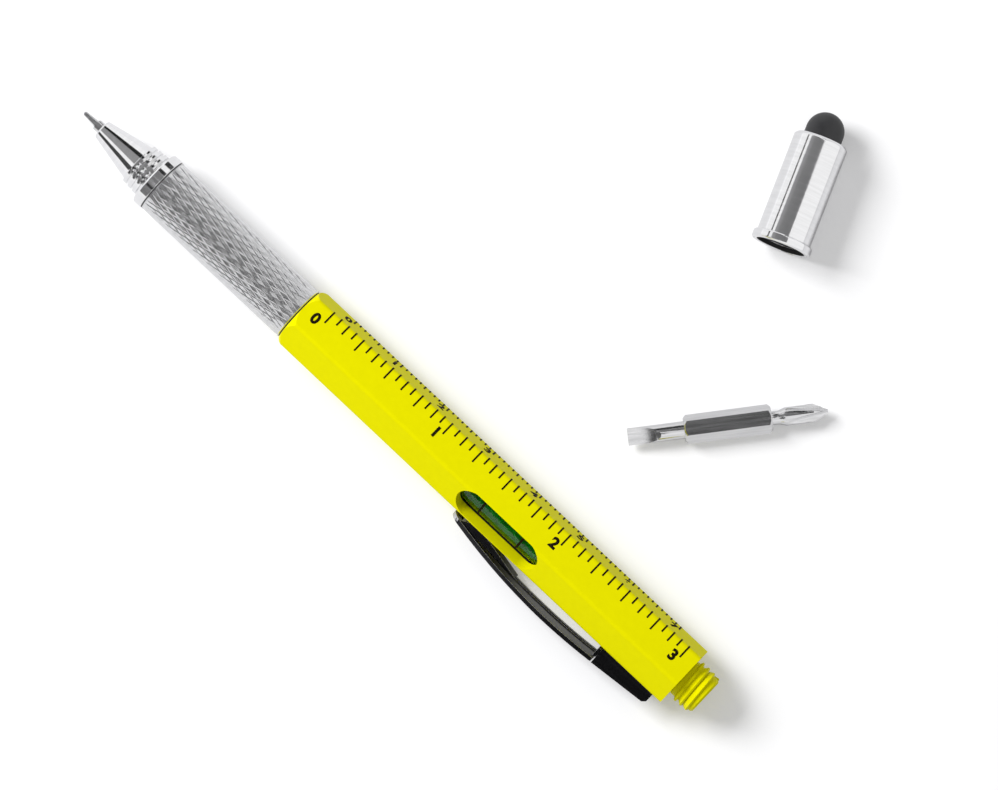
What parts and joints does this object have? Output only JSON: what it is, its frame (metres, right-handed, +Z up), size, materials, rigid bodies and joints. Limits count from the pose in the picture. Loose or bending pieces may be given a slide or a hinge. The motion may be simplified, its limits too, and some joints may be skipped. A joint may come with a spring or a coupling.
{
  "type": "multi tool pen",
  "caption": "Twist ballpoint pen with six-sided inch ruler barrel, knurled grip, spirit level, pocket clip, screw-on stylus cap and double-ended screwdriver bit, laid out flat.",
  "frame": {"origin": "on the pen's axis, at the open mouth of the threaded tail with its bit socket", "axes": "+X along the pen out of its tail, the writing tip towards -X, +Z up from the table it lies on"},
  "size_m": [0.1343, 0.09, 0.0106],
  "materials": {
    "yellow_lacquer": "gloss",
    "bright_chrome": "mirror polish",
    "knurled_silver": "satin, diamond knurl",
    "black_nickel": "dark polished plating",
    "tool_steel": "ground and nickel plated",
    "black_rubber": "matte",
    "dark_washer": "matte",
    "foam_pad": "soft",
    "black_plastic": "matte",
    "clear_acrylic": "clear polished",
    "green_liquid": "clear",
    "air_bubble": "clear",
    "black_print": "printed",
    "turned_brass": "turned",
    "white_plastic": "matte",
    "bright_steel": "bright",
    "hard_ball": "polished carbide",
    "black_ink": "wet",
    "clear_grease": "wet"
  },
  "bodies": {
    "barrel": {"hex_barrel": "yellow_lacquer", "tail_stud": "yellow_lacquer", "bit_magnet": "bright_steel", "level_cradle": "black_plastic", "vial_tube": "clear_acrylic", "vial_plugs": "clear_acrylic", "vial_liquid": "green_liquid", "vial_rings": "black_print", "vial_cushion": "foam_pad", "guide_sleeve": "black_plastic", "clip_block": "black_nickel", "clip_pin": "bright_steel", "clip_spring": "bright_steel"},
    "grip": {"grip_sleeve": "knurled_silver", "grip_liner": "turned_brass", "nose_cone": "bright_chrome", "nose_band": "bright_chrome", "nose_washer": "dark_washer", "grip_washer": "dark_washer", "cam_sleeve": "turned_brass", "cam_ring": "turned_brass", "return_spring": "bright_steel"},
    "refill": {"refill_tube": "bright_steel", "refill_tip": "bright_steel", "writing_ball": "hard_ball", "ink_column": "black_ink", "ink_grease": "clear_grease", "cam_follower": "white_plastic", "follower_pin": "bright_steel"},
    "clip": {"clip_arm": "black_nickel"},
    "bubble": {"level_bubble": "air_bubble"},
    "cap": {"cap_shell": "bright_chrome", "cap_rim": "bright_chrome", "cap_thread": "black_plastic", "stylus_tip": "black_rubber", "stylus_plug": "black_plastic"},
    "bit": {"driver_bit": "tool_steel"}
  },
  "joints": [
    {"name": "grip_twist", "type": "hinge", "parent": "barrel", "child": "grip", "pos_m": [-0.09, 0, 0], "axis": [1, 0, 0], "range_deg": [0, 180]},
    {"name": "refill_slide", "type": "slide", "parent": "barrel", "child": "refill", "axis": [1, 0, 0], "range_m": [0, 0.0065], "deforming": ["return_spring"]},
    {"name": "clip_lift", "type": "hinge", "parent": "barrel", "child": "clip", "pos_m": [-0.0129, -0.00584, -0.00207], "axis": [0, -0.3338, 0.9426], "range_deg": [0, 6], "stiffness_Nm_per_rad": 0.03, "deforming": ["clip_spring"]},
    {"name": "bubble_slide", "type": "slide", "parent": "barrel", "child": "bubble", "axis": [1, 0, 0], "range_m": [-0.0095, 0.0038]},
    {"name": "cap_lift", "type": "slide", "parent": "barrel", "child": "cap", "axis": [0, 0, 1], "range_m": [0, 0.04]},
    {"name": "bit_lift", "type": "slide", "parent": "barrel", "child": "bit", "axis": [0, 0, 1], "range_m": [0, 0.04]}
  ],
  "couplings": [
    {"joint": "refill_slide", "follows": "grip_twist", "m_per_rad": 0.002069}
  ]
}
